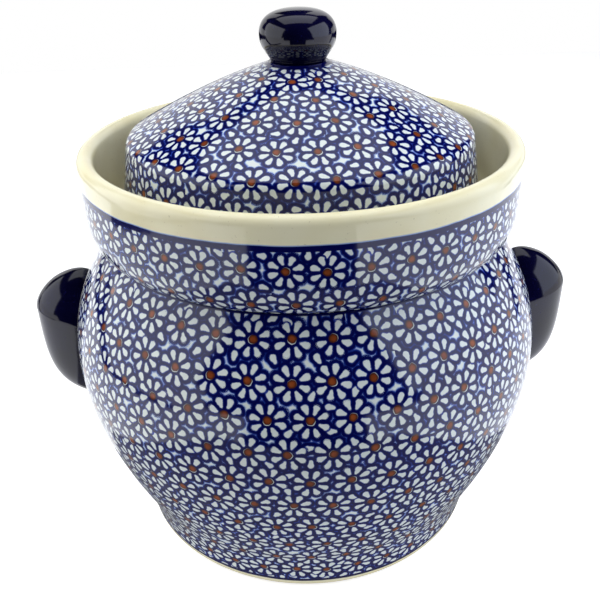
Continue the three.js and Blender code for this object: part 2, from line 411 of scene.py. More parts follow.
def jar_outline():
    outline = Outline((0.0, FOOT_RECESS))
    foot_inside = FOOT_RADIUS - FOOT_WIDTH
    belly = BELLY_RADIUS - WALL
    outline.line((foot_inside - FOOT_RECESS, FOOT_RECESS), CLAY, step=12)
    outline.curve((foot_inside - FOOT_RECESS / 2, FOOT_RECESS), (foot_inside, 0), CLAY, FINE_STEP)
    draw_outside(outline)
    outline.line((shelf_radius, SHOULDER_HEIGHT), STAMPED, PLAIN_STEP)
    outline.line((shelf_radius, moat_floor), IVORY, PLAIN_STEP)
    outline.line((mouth_radius, moat_floor), IVORY, step=5)
    outline.line((mouth_radius, moat_floor - SHELF_THICKNESS), IVORY, PLAIN_STEP)
    outline.curve((belly, SHOULDER_HEIGHT - WALL), (belly, BELLY_HEIGHT), IVORY, PLAIN_STEP)
    outline.curve((belly, lower_bend), (inner_waist, WAIST_HEIGHT + WALL / 2), IVORY, PLAIN_STEP)
    outline.curve((inner_waist - WALL / 2, FLOOR_THICKNESS), (weight_radius, FLOOR_THICKNESS), IVORY, step=3)
    outline.line((0, FLOOR_THICKNESS), IVORY, step=9)
    return outline


def collar_outline():
    base = SHOULDER_HEIGHT + SEAT_GAP
    bore = shelf_radius + SEAT_GAP
    low = RIM_RADIUS - COLLAR_DRAFT
    low_bore = low - RIM_WALL
    lip = RIM_WALL / 2
    outline = Outline((bore, base))
    outline.line((crease_radius, base), STAMPED, step=3)
    outline.curve((low, base + COLLAR_FULLNESS * COLLAR_TURN), (low, base + COLLAR_TURN), STAMPED, step=1.2)
    outline.line((RIM_RADIUS, rim_height - lip), STAMPED)
    outline.half_round((RIM_RADIUS - lip, rim_height - lip), lip, IVORY)
    outline.line((low_bore, moat_floor + MOAT_COVE), IVORY, PLAIN_STEP)
    outline.curve((low_bore, moat_floor), (bore, moat_floor), IVORY, step=1.5)
    outline.line((bore, base), IVORY, PLAIN_STEP)
    return outline


def neck_outline():
    base = moat_floor + SEAT_GAP
    lip = NECK_WALL / 2
    outline = Outline((mouth_radius, base))
    outline.line((neck_radius, base), IVORY, PLAIN_STEP)
    outline.line((neck_radius, neck_top - lip), IVORY, PLAIN_STEP)
    outline.half_round((neck_radius - lip, neck_top - lip), lip, IVORY)
    outline.line((mouth_radius, base), IVORY, PLAIN_STEP)
    return outline


def dome_height(radius):
    return lid_top - DOME_RISE * (radius / lid_shoulder_radius) ** DOME_FULLNESS


def lid_outline():
    """The lid from the middle of its inside, round the skirt's foot and up to the boss under the knob."""
    boss_foot = boss_radius + BOSS_FILLET
    edge = lid_shoulder_radius - LID_SHOULDER
    inner_shoulder = lid_shoulder_radius - LID_WALL
    inner_edge = inner_shoulder - LID_SHOULDER
    knee = dome_height(inner_shoulder) - LID_WALL
    outline = Outline((0.0, dome_height(0) - LID_WALL))
    for i in range(1, INNER_DOME_RINGS + 1):
        radius = inner_edge * i / INNER_DOME_RINGS
        outline.line((radius, dome_height(radius) - LID_WALL), IVORY, LONG_STEP)
    outline.curve((inner_shoulder, knee), (inner_shoulder, knee - LID_SHOULDER), IVORY, step=1.5)
    outline.line((skirt_bore, skirt_foot + SKIRT_EDGE), IVORY, step=2)
    outline.curve((skirt_bore, skirt_foot), (skirt_bore + SKIRT_EDGE, skirt_foot), IVORY, FINE_STEP)
    outline.line((skirt_radius - SKIRT_EDGE, skirt_foot), IVORY, step=2)
    outline.curve((skirt_radius, skirt_foot), (skirt_radius, skirt_foot + SKIRT_EDGE), IVORY, FINE_STEP)
    outline.line((lid_shoulder_radius, lid_shoulder_height - LID_SHOULDER), STAMPED, step=2)
    outline.curve((lid_shoulder_radius, lid_shoulder_height), (edge, dome_height(edge)), STAMPED, FINE_STEP)
    for i in range(1, DOME_RINGS + 1):
        radius = edge + (boss_foot - edge) * i / DOME_RINGS
        outline.line((radius, dome_height(radius)), STAMPED, LONG_STEP)
    outline.curve((boss_radius, dome_height(boss_radius)), (boss_radius, boss_top), STAMPED, step=1)
    outline.line((0, boss_top), STAMPED, step=5)
    return outline


def knob_outline():
    """The knob, with a fine groove turned below its widest part."""
    base = boss_top + SEAT_GAP
    widest = base + KNOB_WIDEST_HEIGHT
    top = base + KNOB_HEIGHT
    flank_height = base + (widest - base) * KNOB_FLANK_RISE
    flank = KNOB_BASE_RADIUS + (KNOB_RADIUS - KNOB_BASE_RADIUS) * KNOB_FLANK_SWELL
    swell = base + (widest - base) * KNOB_SWELL_RISE
    crown = widest + (top - widest) * KNOB_CROWN_RISE
    side = (KNOB_BASE_RADIUS + KNOB_EDGE_FLARE, base + KNOB_EDGE)
    outline = Outline((0.0, base))
    outline.line((KNOB_BASE_RADIUS - KNOB_EDGE, base), STAMPED, PLAIN_STEP)
    outline.curve((KNOB_BASE_RADIUS, base), side, STAMPED, step=0.3)
    outline.cubic((flank, flank_height), (KNOB_RADIUS, swell), (KNOB_RADIUS, widest), STAMPED, step=0.6)
    outline.cubic((KNOB_RADIUS, crown), (KNOB_RADIUS * KNOB_CROWN_WIDTH, top), (0, top), STAMPED, FINE_STEP)
    groove = base + GROOVE_RISE * KNOB_WIDEST_HEIGHT
    for i, (radius, height) in enumerate(outline.points):
        if radius > KNOB_BASE_RADIUS:
            depth = GROOVE_DEPTH * math.exp(-(((height - groove) / GROOVE_WIDTH) ** 2))
            outline.points[i] = (radius - depth, height)
    return outline


def turn_angles(count, dense=()):
    """Angles of the columns, with more of them close to each dense angle."""
    angles = set(round(2 * math.pi * i / count, 9) for i in range(count))
    for centre in dense:
        for i in range(-NOTCH_COLUMNS, NOTCH_COLUMNS + 1):
            angles.add(round((centre + math.radians(NOTCH_STEP * i)) % (2 * math.pi), 9))
    ordered = sorted(angles)
    spaced = [ordered[0]]
    for angle in ordered[1:]:
        if angle - spaced[-1] > LEAST_TURN:
            spaced.append(angle)
    return np.array(spaced)


class Turned:
    """A turned mesh with what the stamps need to know about each face corner."""

    def __init__(self, outline, angles, lift=None):
        self.points = np.array(outline.points)
        self.kinds = outline.kinds
        steps = np.hypot(*np.diff(self.points, axis=0).T)
        self.reach = np.concatenate([[0], np.cumsum(steps)])
        n = len(angles)
        rows = []
        places = []
        for radius, height in self.points:
            if radius < TINY:
                rows.append([len(places)] * (n + 1))
                places.append((0.0, 0.0, height))
                continue
            first = len(places)
            for angle in angles:
                rise = lift(radius, height, angle) if lift else 0.0
                places.append((radius * math.cos(angle), radius * math.sin(angle), height + rise))
            rows.append([*range(first, first + n), first])
        self.places = np.array(places)
        self.faces = []
        self.corners = []
        turn = np.append(angles, angles[0] + 2 * math.pi)
        for i in range(len(self.kinds)):
            below, above = rows[i], rows[i + 1]
            for j in range(n):
                ring = [(below[j], i, j), (below[j + 1], i, j + 1)]
                ring += [(above[j + 1], i + 1, j + 1), (above[j], i + 1, j)]
                if below[j] == below[j + 1]:
                    ring.pop(1)
                elif above[j] == above[j + 1]:
                    ring.pop(3)
                self.faces.append([corner[0] for corner in ring])
                self.corners.append([(self.reach[c[1]], turn[c[2]], self.points[c[1]][0]) for c in ring])
        self.face_kinds = np.repeat(self.kinds, n)

    def mesh(self, name, materials):
        mesh = new_mesh(name, (self.places * MM).tolist(), self.faces, *materials)
        if len(materials) > 1:
            mesh.polygons.foreach_set("material_index", self.face_kinds)
        smooth(mesh)
        mesh.validate()
        mesh.update()
        return mesh


def front_angle(degrees):
    return math.radians(degrees - 90)


def distances(places, marks):
    """A table of distances, with a row for each place and a column for each mark."""
    return np.linalg.norm(places[:, None] - marks[None], axis=2)


class Stamps:
    """Flowers and single petals laid out in rows on a turned form."""

    def __init__(self, turned, rows, seed, field, size=1.0, flat_above=math.inf):
        rng = np.random.default_rng(seed)
        inside = [i for i, kind in enumerate(turned.kinds) if kind == STAMPED]
        span = turned.points[inside[0]:inside[-1] + 2]
        reach = turned.reach[inside[0]:inside[-1] + 2]
        keep = np.concatenate([[True], np.diff(span[:, 1]) > TINY])
        self.heights, self.radii, self.reach = span[keep][:, 1], span[keep][:, 0], reach[keep]
        self.flat_above = flat_above
        self.size = size
        spots = []
        for height, count, phase in rows:
            for k in range(count):
                angle = front_angle(phase) + 2 * math.pi * k / count
                spots.append((angle, height))
        spots = np.array(spots)
        radius = np.interp(spots[:, 1], self.heights, self.radii)
        along = np.interp(spots[:, 1], self.heights, self.reach)
        spots[:, 0] += rng.normal(0, ROW_JITTER, len(spots)) / radius
        along += rng.normal(0, HEIGHT_JITTER, len(spots))
        order = rng.permutation(len(spots))
        self.flowers = self._frames(spots[order, 0], along[order])
        self.flowers["turn"] = math.pi / PETALS + rng.normal(0, TILT_JITTER, len(spots))
        self.flowers["chance"] = rng.random(len(spots))
        self.petals = self._fill(rng, *field)

    def _change(self, along, values):
        """How values change over a short way along the outline."""
        ahead = np.interp(along + NUDGE, self.reach, values)
        return ahead - np.interp(along - NUDGE, self.reach, values)

    def _frames(self, angle, along):
        height = np.interp(along, self.reach, self.heights)
        radius = np.interp(along, self.reach, self.radii)
        up_height = self._change(along, self.heights)
        up_radius = self._change(along, self.radii)
        size = np.hypot(up_height, up_radius)
        up_height, up_radius = up_height / size, up_radius / size
        cos, sin = np.cos(angle), np.sin(angle)
        zero = np.zeros_like(angle)
        return {
            "angle": angle, "along": along,
            "place": np.stack([radius * cos, radius * sin, height], -1),
            "right": np.stack([-sin, cos, zero], -1),
            "up": np.stack([up_radius * cos, up_radius * sin, up_height], -1),
        }

    def _fill(self, rng, first, last):
        """Single petals where the flowers leave a wide gap."""
        low = np.interp(first, self.heights, self.reach)
        high = np.interp(last, self.heights, self.reach)
        along = rng.uniform(low, high, FILL_TRIES)
        angle = rng.uniform(0, 2 * math.pi, FILL_TRIES)
        tries = self._frames(angle, along)
        room = np.full(FILL_TRIES, FAR)
        for begin in range(0, FILL_TRIES, CHUNK):
            gaps = distances(tries["place"][begin:begin + CHUNK], self.flowers["place"])
            room[begin:begin + CHUNK] = gaps.min(axis=1)
        chosen = []
        edge = np.minimum(along - low, high - along) < BORDER_STRIP
        spare = room - np.where(edge, BORDER_ROOM, GAP_ROOM)
        for i in np.argsort(-spare):
            if spare[i] < 0:
                break
            place = tries["place"][i]
            if all(np.linalg.norm(place - tries["place"][k]) > PETAL_SPACING for k in chosen):
                chosen.append(i)
        petals = {key: value[chosen] for key, value in tries.items()}
        petals["turn"] = rng.uniform(0, 2 * math.pi, len(chosen))
        petals["chance"] = np.zeros(len(chosen))
        return petals

    def _local(self, marks, index, corner, place):
        """Face corners seen from their marks, in millimetres, with each mark's chance."""
        reach, angle, radius = corner
        offset = place - marks["place"][index]
        flat_x = np.einsum("ij,ij->i", offset, marks["right"][index])
        flat_y = np.einsum("ij,ij->i", offset, marks["up"][index])
        turn = (angle - marks["angle"][index] + math.pi) % (2 * math.pi) - math.pi
        flat = marks["place"][index][:, 2] > self.flat_above
        x = np.where(flat, flat_x, radius * turn) / self.size
        y = np.where(flat, flat_y, reach - marks["along"][index]) / self.size
        cos, sin = np.cos(marks["turn"][index]), np.sin(marks["turn"][index])
        return np.stack([x * cos + y * sin, y * cos - x * sin, marks["chance"][index]], -1)

    def write(self, turned, mesh, low_border, high_border):
        """Stores each corner's place in the nearest flowers and the nearest single petal."""
        sizes = np.array([len(face) for face in turned.faces])
        starts = np.concatenate([[0], np.cumsum(sizes)])[:-1]
        owner = np.repeat(np.arange(len(sizes)), sizes)
        corner = np.array([c for ring in turned.corners for c in ring]).T
        place = turned.places[[v for face in turned.faces for v in face]]
        middle = np.add.reduceat(place, starts, axis=0) / sizes[:, None]
        pressed = turned.face_kinds == STAMPED
        near_flowers = np.zeros((len(sizes), NEAR_FLOWERS), dtype=int)
        near_petal = np.zeros(len(sizes), dtype=int)
        pressed_faces = np.flatnonzero(pressed)
        for begin in range(0, len(pressed_faces), CHUNK):
            part = pressed_faces[begin:begin + CHUNK]
            gaps = distances(middle[part], self.flowers["place"])
            nearest = np.argpartition(gaps, NEAR_FLOWERS, axis=1)[:, :NEAR_FLOWERS]
            near_flowers[part] = np.sort(nearest, axis=1)
            near_petal[part] = distances(middle[part], self.petals["place"]).argmin(axis=1)
        layers = [(f"stamp_{k}", self.flowers, near_flowers[:, k]) for k in range(NEAR_FLOWERS)]
        layers.append(("petal", self.petals, near_petal))
        for name, marks, nearest in layers:
            values = self._local(marks, nearest[owner], corner, place)
            values[~pressed[owner]] = (FAR, FAR, 0)
            self._store(mesh, name, values)
        height = place[:, 2]
        border = np.stack([height - low_border, high_border - height, np.zeros(len(height))], -1)
        self._store(mesh, "border", border)

    @staticmethod
    def _store(mesh, name, values):
        attribute = mesh.attributes.new(name, "FLOAT_VECTOR", "CORNER")
        attribute.data.foreach_set("vector", values.astype(np.float32).ravel())


class Nodes:
    """Short ways to lay out shader nodes in one tree."""

    def __init__(self, tree):
        self.tree = tree

    def add(self, kind, **settings):
        node = self.tree.nodes.new(kind)
        for key, value in settings.items():
            setattr(node, key, value)
        return node

    def feed(self, socket, value):
        if isinstance(value, bpy.types.NodeSocket):
            self.tree.links.new(value, socket)
        else:
            socket.default_value = value

    def math(self, operation, first, second=None, third=None):
        node = self.add("ShaderNodeMath", operation=operation)
        for socket, value in zip(node.inputs, (first, second, third)):
            if value is not None:
                self.feed(socket, value)
        return node.outputs[0]

    def length(self, x, y):
        return self.math("SQRT", self.math("MULTIPLY_ADD", x, x, self.math("MULTIPLY", y, y)))

    def step(self, value, low, high):
        """0 at low and 1 at high, with a smooth passage."""
        node = self.add("ShaderNodeMapRange", interpolation_type="SMOOTHSTEP")
        self.feed(node.inputs["Value"], value)
        ends = (low, high, 0.0, 1.0) if low < high else (high, low, 1.0, 0.0)
        for name, end in zip(("From Min", "From Max", "To Min", "To Max"), ends):
            node.inputs[name].default_value = end
        return node.outputs["Result"]

    def mix(self, factor, first, second):
        """Two colours mixed, by the node's sockets for colours."""
        node = self.add("ShaderNodeMix", data_type="RGBA")
        self.feed(node.inputs["Factor"], factor)
        self.feed(node.inputs[6], first)
        self.feed(node.inputs[7], second)
        return node.outputs[2]

    def noise(self, vector, scale, detail, output="Fac"):
        node = self.add("ShaderNodeTexNoise")
        self.feed(node.inputs["Vector"], vector)
        node.inputs["Scale"].default_value = scale
        node.inputs["Detail"].default_value = detail
        return node.outputs[output]

    def split(self, vector):
        node = self.add("ShaderNodeSeparateXYZ")
        self.feed(node.inputs[0], vector)
        return node.outputs[0], node.outputs[1], node.outputs[2]

    def attribute(self, name):
        return self.add("ShaderNodeAttribute", attribute_name=name).outputs["Vector"]

    def where(self):
        return self.add("ShaderNodeTexCoord").outputs["Object"]

    def seen(self):
        """1 for rays from the camera, off gloss and through glass, and 0 for the rest."""
        path = self.add("ShaderNodeLightPath")
        seen = self.math("MAXIMUM", path.outputs["Is Camera Ray"], path.outputs["Is Glossy Ray"])
        return self.math("MAXIMUM", seen, path.outputs["Is Transmission Ray"])

    def relief(self, shader, height, strength):
        bump = self.add("ShaderNodeBump")
        bump.inputs["Strength"].default_value = strength
        bump.inputs["Distance"].default_value = RELIEF_DEPTH
        self.feed(bump.inputs["Height"], height)
        self.feed(shader.inputs["Normal"], bump.outputs["Normal"])


def pear(n, along, across, start, end, narrow, broad):
    """Distance to a rounded pear shape that lies along one axis."""
    share = n.math("DIVIDE", n.math("SUBTRACT", along, start), end - start)
    share = n.math("MINIMUM", n.math("MAXIMUM", share, 0.0), 1.0)
    spine = n.math("MULTIPLY_ADD", share, end - start, start)
    off = n.math("SUBTRACT", along, spine)
    radius = n.math("MULTIPLY_ADD", share, broad - narrow, narrow)
    return n.math("SUBTRACT", n.length(off, across), radius)


def flower_group():
    """One stamped flower: distance to its petals, and masks of its cover, core, pale disc and dot."""
    tree = bpy.data.node_groups.new("flower", "ShaderNodeTree")
    for name in ("Place", "Waver"):
        tree.interface.new_socket(name, in_out="INPUT", socket_type="NodeSocketVector")
    for name in ("Distance", "Cover", "Core", "Pale", "Dot", "Heart"):
        tree.interface.new_socket(name, in_out="OUTPUT", socket_type="NodeSocketFloat")
    n = Nodes(tree)
    entry = n.add("NodeGroupInput")
    leave = n.add("NodeGroupOutput")
    x, y, chance = n.split(entry.outputs["Place"])
    waver_x, waver_y, _ = n.split(entry.outputs["Waver"])
    x = n.math("ADD", x, waver_x)
    y = n.math("ADD", y, waver_y)
    away = n.length(x, y)
    turn = n.math("MULTIPLY", n.math("ARCTAN2", y, x), PETALS / (2 * math.pi))
    number = n.math("ROUND", turn)
    fold = n.math("MULTIPLY", n.math("SUBTRACT", turn, number), 2 * math.pi / PETALS)
    pair = n.add("ShaderNodeCombineXYZ")
    n.feed(pair.inputs[0], n.math("MODULO", n.math("ADD", number, PETALS), PETALS))
    n.feed(pair.inputs[1], n.math("MULTIPLY", chance, PETAL_SCATTER))
    petal_chance = n.add("ShaderNodeTexWhiteNoise", noise_dimensions="2D")
    n.feed(petal_chance.inputs["Vector"], pair.outputs[0])
    size = n.math("MULTIPLY_ADD", petal_chance.outputs["Value"], PETAL_SIZE_SPREAD, PETAL_SIZE)
    reach = n.math("DIVIDE", away, size)
    along = n.math("MULTIPLY", reach, n.math("COSINE", fold))
    across = n.math("MULTIPLY", reach, n.math("SINE", fold))
    distance = pear(n, along, across, *PETAL_SHAPE)
    core = n.step(away, *CORE)
    lean = n.math("MULTIPLY", chance, DOT_SCATTER)
    dot_x = n.math("MULTIPLY", n.math("COSINE", lean), DOT_ASIDE)
    dot_y = n.math("MULTIPLY_ADD", n.math("SINE", lean), DOT_UP_SPREAD, DOT_UP)
    near = n.length(n.math("SUBTRACT", x, dot_x), n.math("SUBTRACT", y, dot_y))
    n.feed(leave.inputs["Distance"], distance)
    n.feed(leave.inputs["Cover"], n.math("MAXIMUM", n.step(distance, *PETAL_COVER), core))
    n.feed(leave.inputs["Core"], core)
    n.feed(leave.inputs["Pale"], n.step(away, *PALE_DISC))
    n.feed(leave.inputs["Dot"], n.step(near, *DOT))
    n.feed(leave.inputs["Heart"], n.step(near, *DOT_HEART))
    return tree


def new_material(name):
    material = bpy.data.materials.new(name)
    material.use_nodes = True
    tree = material.node_tree
    return material, Nodes(tree), tree.nodes["Principled BSDF"]


def cream_colour(n, where):
    """Ivory glaze with faint clouds and specks."""
    cloud = n.step(n.noise(where, *CREAM_CLOUDS), *CLOUD_RISE)
    speck = n.step(n.noise(where, *CREAM_SPECKS), *CREAM_SPECK_RISE)
    specks = n.math("MULTIPLY", speck, CREAM_SPECK_STRENGTH)
    return n.mix(specks, n.mix(cloud, CREAM, WARM_CREAM), CREAM_SPECK)


def glaze_surface(n, shader, where, roughness=GLAZE_ROUGHNESS, swell=GLAZE_SWELL):
    """Gloss with the slow ripple of a thick glaze."""
    shader.inputs["Roughness"].default_value = roughness
    shader.inputs["IOR"].default_value = GLAZE_IOR
    n.relief(shader, n.noise(where, *GLAZE_RIPPLE), swell)


def stamped_material():
    """Flowers under a clear glaze, between cobalt bands and the cream of rim and foot."""
    material, n, shader = new_material("stamped_glaze")
    where = n.where()
    waver = n.add("ShaderNodeVectorMath", operation="MULTIPLY_ADD")
    n.feed(waver.inputs[0], n.noise(where, *EDGE_WAVER, "Color"))
    waver.inputs[1].default_value = (2 * WAVER, 2 * WAVER, 0.0)
    waver.inputs[2].default_value = (-WAVER, -WAVER, 0.0)
    flower = flower_group()
    parts = []
    for k in range(NEAR_FLOWERS):
        group = n.add("ShaderNodeGroup", node_tree=flower)
        n.feed(group.inputs["Place"], n.attribute(f"stamp_{k}"))
        n.feed(group.inputs["Waver"], waver.outputs[0])
        parts.append(group)

    def joined(name, operation="MAXIMUM"):
        value = parts[0].outputs[name]
        for part in parts[1:]:
            value = n.math(operation, value, part.outputs[name])
        return value

    x, y, _ = n.split(n.attribute("petal"))
    waver_x, waver_y, _ = n.split(waver.outputs[0])
    single = pear(n, n.math("ADD", x, waver_x), n.math("ADD", y, waver_y), *SINGLE_SHAPE)
    distance = n.math("MINIMUM", joined("Distance", "MINIMUM"), single)
    line = n.math("MAXIMUM", n.step(distance, *LINE), joined("Core"))
    halo = n.math("MULTIPLY", n.step(distance, *HALO), HALO_STRENGTH)
    white = n.step(single, *PETAL_EDGE)
    for part in parts:
        bare = n.math("SUBTRACT", 1.0, part.outputs["Cover"])
        own = n.step(part.outputs["Distance"], *PETAL_EDGE)
        white = n.math("MAXIMUM", n.math("MULTIPLY", white, bare), own)
    mottle = n.noise(where, *MOTTLE)
    patches = n.math("MULTIPLY_ADD", n.step(mottle, *PATCH_RISE), BLEED_SPREAD, BLEED_STRENGTH)
    bleed = n.math("MAXIMUM", n.step(distance, *INNER_BLEED), n.step(distance, *OUTER_BLEED))
    ink = n.mix(n.math("MULTIPLY", bleed, patches), COBALT, INK)
    colour = n.mix(halo, PETAL, PALE_BLUE)
    colour = n.mix(line, colour, ink)
    colour = n.mix(white, colour, PETAL)
    colour = n.mix(joined("Pale"), colour, PETAL)
    rust = n.mix(n.step(mottle, *CLOUD_RISE), RUST, DARK_RUST)
    rust = n.mix(joined("Heart"), DOT_RIM, rust)
    colour = n.mix(joined("Dot"), colour, rust)
    low, high, _ = n.split(n.attribute("border"))
    ragged = n.math("MULTIPLY_ADD", n.noise(where, *RAGGED), BORDER_WAVER, -BORDER_WAVER / 2)
    high = n.math("ADD", high, ragged)
    low = n.math("ADD", low, ragged)
    cream = cream_colour(n, where)
    colour = n.mix(n.step(high, *TOP_BAND), colour, COBALT)
    colour = n.mix(n.step(low, *FOOT_BAND), colour, COBALT)
    fringe = n.mix(n.step(high, *BORDER_FRINGE), PALE_BLUE, cream)
    colour = n.mix(n.step(high, *BORDER_EDGE), colour, fringe)
    colour = n.mix(n.step(low, *BORDER_EDGE), colour, cream)
    n.feed(shader.inputs["Base Color"], colour)
    glaze_surface(n, shader, where)
    return material


def ivory_material():
    material, n, shader = new_material("ivory_glaze")
    where = n.where()
    n.feed(shader.inputs["Base Color"], cream_colour(n, where))
    glaze_surface(n, shader, where, IVORY_ROUGHNESS)
    return material


def cobalt_material():
    material, n, shader = new_material("cobalt_glaze")
    where = n.where()
    pool = n.step(n.noise(where, *NAVY_POOLS), *CLOUD_RISE)
    speck = n.step(n.noise(where, *NAVY_SPECKS), *NAVY_SPECK_RISE)
    specks = n.math("MULTIPLY", speck, NAVY_SPECK_STRENGTH)
    colour = n.mix(specks, n.mix(pool, NAVY, NAVY_POOL), NAVY_SPECK)
    n.feed(shader.inputs["Base Color"], colour)
    glaze_surface(n, shader, where, COBALT_ROUGHNESS, COBALT_SWELL)
    return material


def clay_material():
    material, n, shader = new_material("bare_stoneware")
    where = n.where()
    grain = n.noise(where, *CLAY_GRAINS)
    cloud = n.step(n.noise(where, *CLAY_CLOUDS), *CLOUD_RISE)
    grains = n.math("MULTIPLY", n.step(grain, *CLAY_GRAIN_RISE), CLAY_GRAIN_STRENGTH)
    colour = n.mix(grains, n.mix(cloud, PALE_CLAY, WARM_CLAY), CLAY_GRAIN)
    n.feed(shader.inputs["Base Color"], colour)
    roughness = n.math("MULTIPLY_ADD", grain, CLAY_ROUGHNESS_SPREAD, CLAY_ROUGHNESS)
    n.feed(shader.inputs["Roughness"], roughness)
    n.relief(shader, grain, CLAY_RELIEF)
    return material


stamped = stamped_material()
ivory = ivory_material()
cobalt = cobalt_material()
clay = clay_material()


def add_piece(name, mesh, body, slot, *nodes):
    piece = new_object(name, mesh)
    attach(piece, body)
    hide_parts(*nodes)


def add_stamped(name, turned, stamps, borders, body, node):
    mesh = turned.mesh(name, [stamped, ivory, clay])
    stamps.write(turned, mesh, *borders)
    add_piece(name, mesh, body, "stamped_glaze", node)


def notch_lift(radius, height, angle):
    """Lifts the skirt's foot over the two gas notches, and eases the wall above them."""
    if height > skirt_foot + 2 * VENT_RADIUS or radius < skirt_bore - SKIRT_MARGIN:
        return 0.0
    across = radius * math.cos(angle)
    arch = math.sqrt(max(0.0, VENT_RADIUS ** 2 - across ** 2))
    return arch * (1 - (height - skirt_foot) / (2 * VENT_RADIUS))


def eased(value, power):
    """A power that keeps the sign."""
    return math.copysign(abs(value) ** power, value)


def lug_form(name, side):
    """The whole ear-like lug, lean at the top and blunt at the foot."""
    depth = HANDLE_ROOT + HANDLE_REACH
    places = []
    for i in range(LUG_RINGS + 1):
        tilt = -math.pi / 2 + math.pi * i / LUG_RINGS
        ease = HANDLE_TOP_EASE if tilt > 0 else HANDLE_FOOT_EASE
        spread = abs(math.cos(tilt)) ** ease if 0 < i < LUG_RINGS else 0.0
        up = eased(math.sin(tilt), ease)
        for j in range(LUG_COLUMNS):
            turn = 2 * math.pi * j / LUG_COLUMNS
            out = spread * eased(math.cos(turn), HANDLE_SIDE_EASE)
            height = (HANDLE_RISE if up > 0 else HANDLE_DROP) * up + HANDLE_LIFT * out
            x = BELLY_RADIUS - HANDLE_ROOT + depth * out
            y = HANDLE_WIDTH / 2 * spread * eased(math.sin(turn), HANDLE_SIDE_EASE)
            z = SHOULDER_HEIGHT - HANDLE_BELOW_SHOULDER + height
            places.append((side * x * MM, side * y * MM, z * MM))
    form = new_mesh(name, places, tube_faces(LUG_RINGS, LUG_COLUMNS))
    form.validate()
    return form


def handle_mesh(name, side):
    """The lug, cut to the belly."""
    belly = Outline((0.0, 0.0))
    draw_outside(belly, SEAT_GAP)
    belly.line((0, SHOULDER_HEIGHT), CLAY, LONG_STEP)
    lug = new_object(name + "_form", lug_form(name + "_form", side))
    cutter = new_object(name + "_cutter", Turned(belly, turns).mesh(name + "_cutter", [clay]))
    merge = lug.modifiers.new("weld", "WELD")
    merge.merge_threshold = TINY
    cut = lug.modifiers.new("cut", "BOOLEAN")
    cut.operation = "DIFFERENCE"
    cut.solver = "EXACT"
    cut.object = cutter
    graph = bpy.context.evaluated_depsgraph_get()
    mesh = bpy.data.meshes.new_from_object(lug.evaluated_get(graph))
    mesh.name = name
    mesh.materials.clear()
    mesh.materials.append(cobalt)
    mesh.polygons.foreach_set("material_index", np.zeros(len(mesh.polygons), dtype=np.int32))
    smooth(mesh)
    for obj in (lug, cutter):
        data = obj.data
        bpy.data.objects.remove(obj)
        bpy.data.meshes.remove(data)
    return mesh


def stone_mesh(name, side):
    """Half-moon stone with rounded edges: an outline with directions, swept over its levels."""
    flat = WEIGHT_SPLIT / 2 + WEIGHT_EDGE
    radius = weight_radius - WEIGHT_EDGE
    half = math.acos(flat / radius)
    edge = []
    for a in np.linspace(-half, half, STONE_ARC_POINTS):
        edge.append((radius * math.cos(a), radius * math.sin(a), math.cos(a), math.sin(a)))
    first, last = edge[0][:2], edge[-1][:2]
    for a in np.linspace(half, math.pi, STONE_CORNER_POINTS)[1:-1]:
        edge.append((*last, math.cos(a), math.sin(a)))
    for y in np.linspace(last[1], first[1], STONE_FLAT_POINTS):
        edge.append((flat, y, -1.0, 0.0))
    for a in np.linspace(math.pi, 2 * math.pi - half, STONE_CORNER_POINTS)[1:-1]:
        edge.append((*first, math.cos(a), math.sin(a)))
    low = FLOOR_THICKNESS + SEAT_GAP
    high = low + WEIGHT_THICKNESS
    rounding = np.linspace(0, math.pi / 2, STONE_EDGE_LEVELS)
    levels = [(math.sin(t), low + WEIGHT_EDGE * (1 - math.cos(t))) for t in rounding]
    levels += [(math.cos(t), high - WEIGHT_EDGE * (1 - math.sin(t))) for t in rounding]
    places = []
    for share, z in levels:
        for x, y, out_x, out_y in edge:
            px = x + WEIGHT_EDGE * share * out_x
            py = y + WEIGHT_EDGE * share * out_y
            places.append((side * px * MM, side * py * MM, z * MM))
    count = len(edge)
    faces = tube_faces(len(levels) - 1, count)
    faces.append(tuple(reversed(range(count))))
    faces.append(tuple((len(levels) - 1) * count + j for j in range(count)))
    mesh = new_mesh(name, places, faces, clay)
    smooth(mesh)
    mesh.validate()
    mesh.update()
    return mesh


# Pieces
turns = turn_angles(TURNS)

jar = Turned(jar_outline(), turns)
jar_stamps = Stamps(jar, BODY_ROWS, BODY_SEED, BODY_FIELD)
add_stamped("jar", jar, jar_stamps, BODY_BORDERS, "crock", "crock_body")

collar = Turned(collar_outline(), turns)
collar_stamps = Stamps(collar, COLLAR_ROWS, COLLAR_SEED, COLLAR_FIELD, SMALL_STAMP)
add_stamped("collar", collar, collar_stamps, COLLAR_BORDERS, "crock", "moat_collar")

neck = Turned(neck_outline(), turns)
add_piece("neck", neck.mesh("neck", [ivory]), "crock", "stamped_glaze", "neck_ring")

lid = Turned(lid_outline(), turn_angles(TURNS, (math.pi / 2, 3 * math.pi / 2)), notch_lift)
lid_stamps = Stamps(lid, LID_ROWS, LID_SEED, LID_FIELD, SMALL_STAMP, FLAT_HEIGHT)
add_stamped("lid", lid, lid_stamps, LID_BORDERS, "lid", "lid_dome")

knob = Turned(knob_outline(), turn_angles(KNOB_TURNS))
add_piece("knob", knob.mesh("knob", [cobalt]), "lid", "cobalt_glaze", "lid_knob")

for word, side in (("right", 1), ("left", -1)):
    lug = handle_mesh("lug_" + word, side)
    add_piece("lug_" + word, lug, "crock", "cobalt_glaze", "handle_" + word)
    stone = stone_mesh("stone_" + word, side)
    add_piece("stone_" + word, stone, word + "_stone", "bare_stoneware", "weight_" + word)


# Studio: a white floor that keeps the shadow, soft lamps, and a dark room and cards that only the glaze sees
def stage_mesh(name, places, faces, material):
    obj = new_object(name, new_mesh(name, places, faces, material))
    return obj


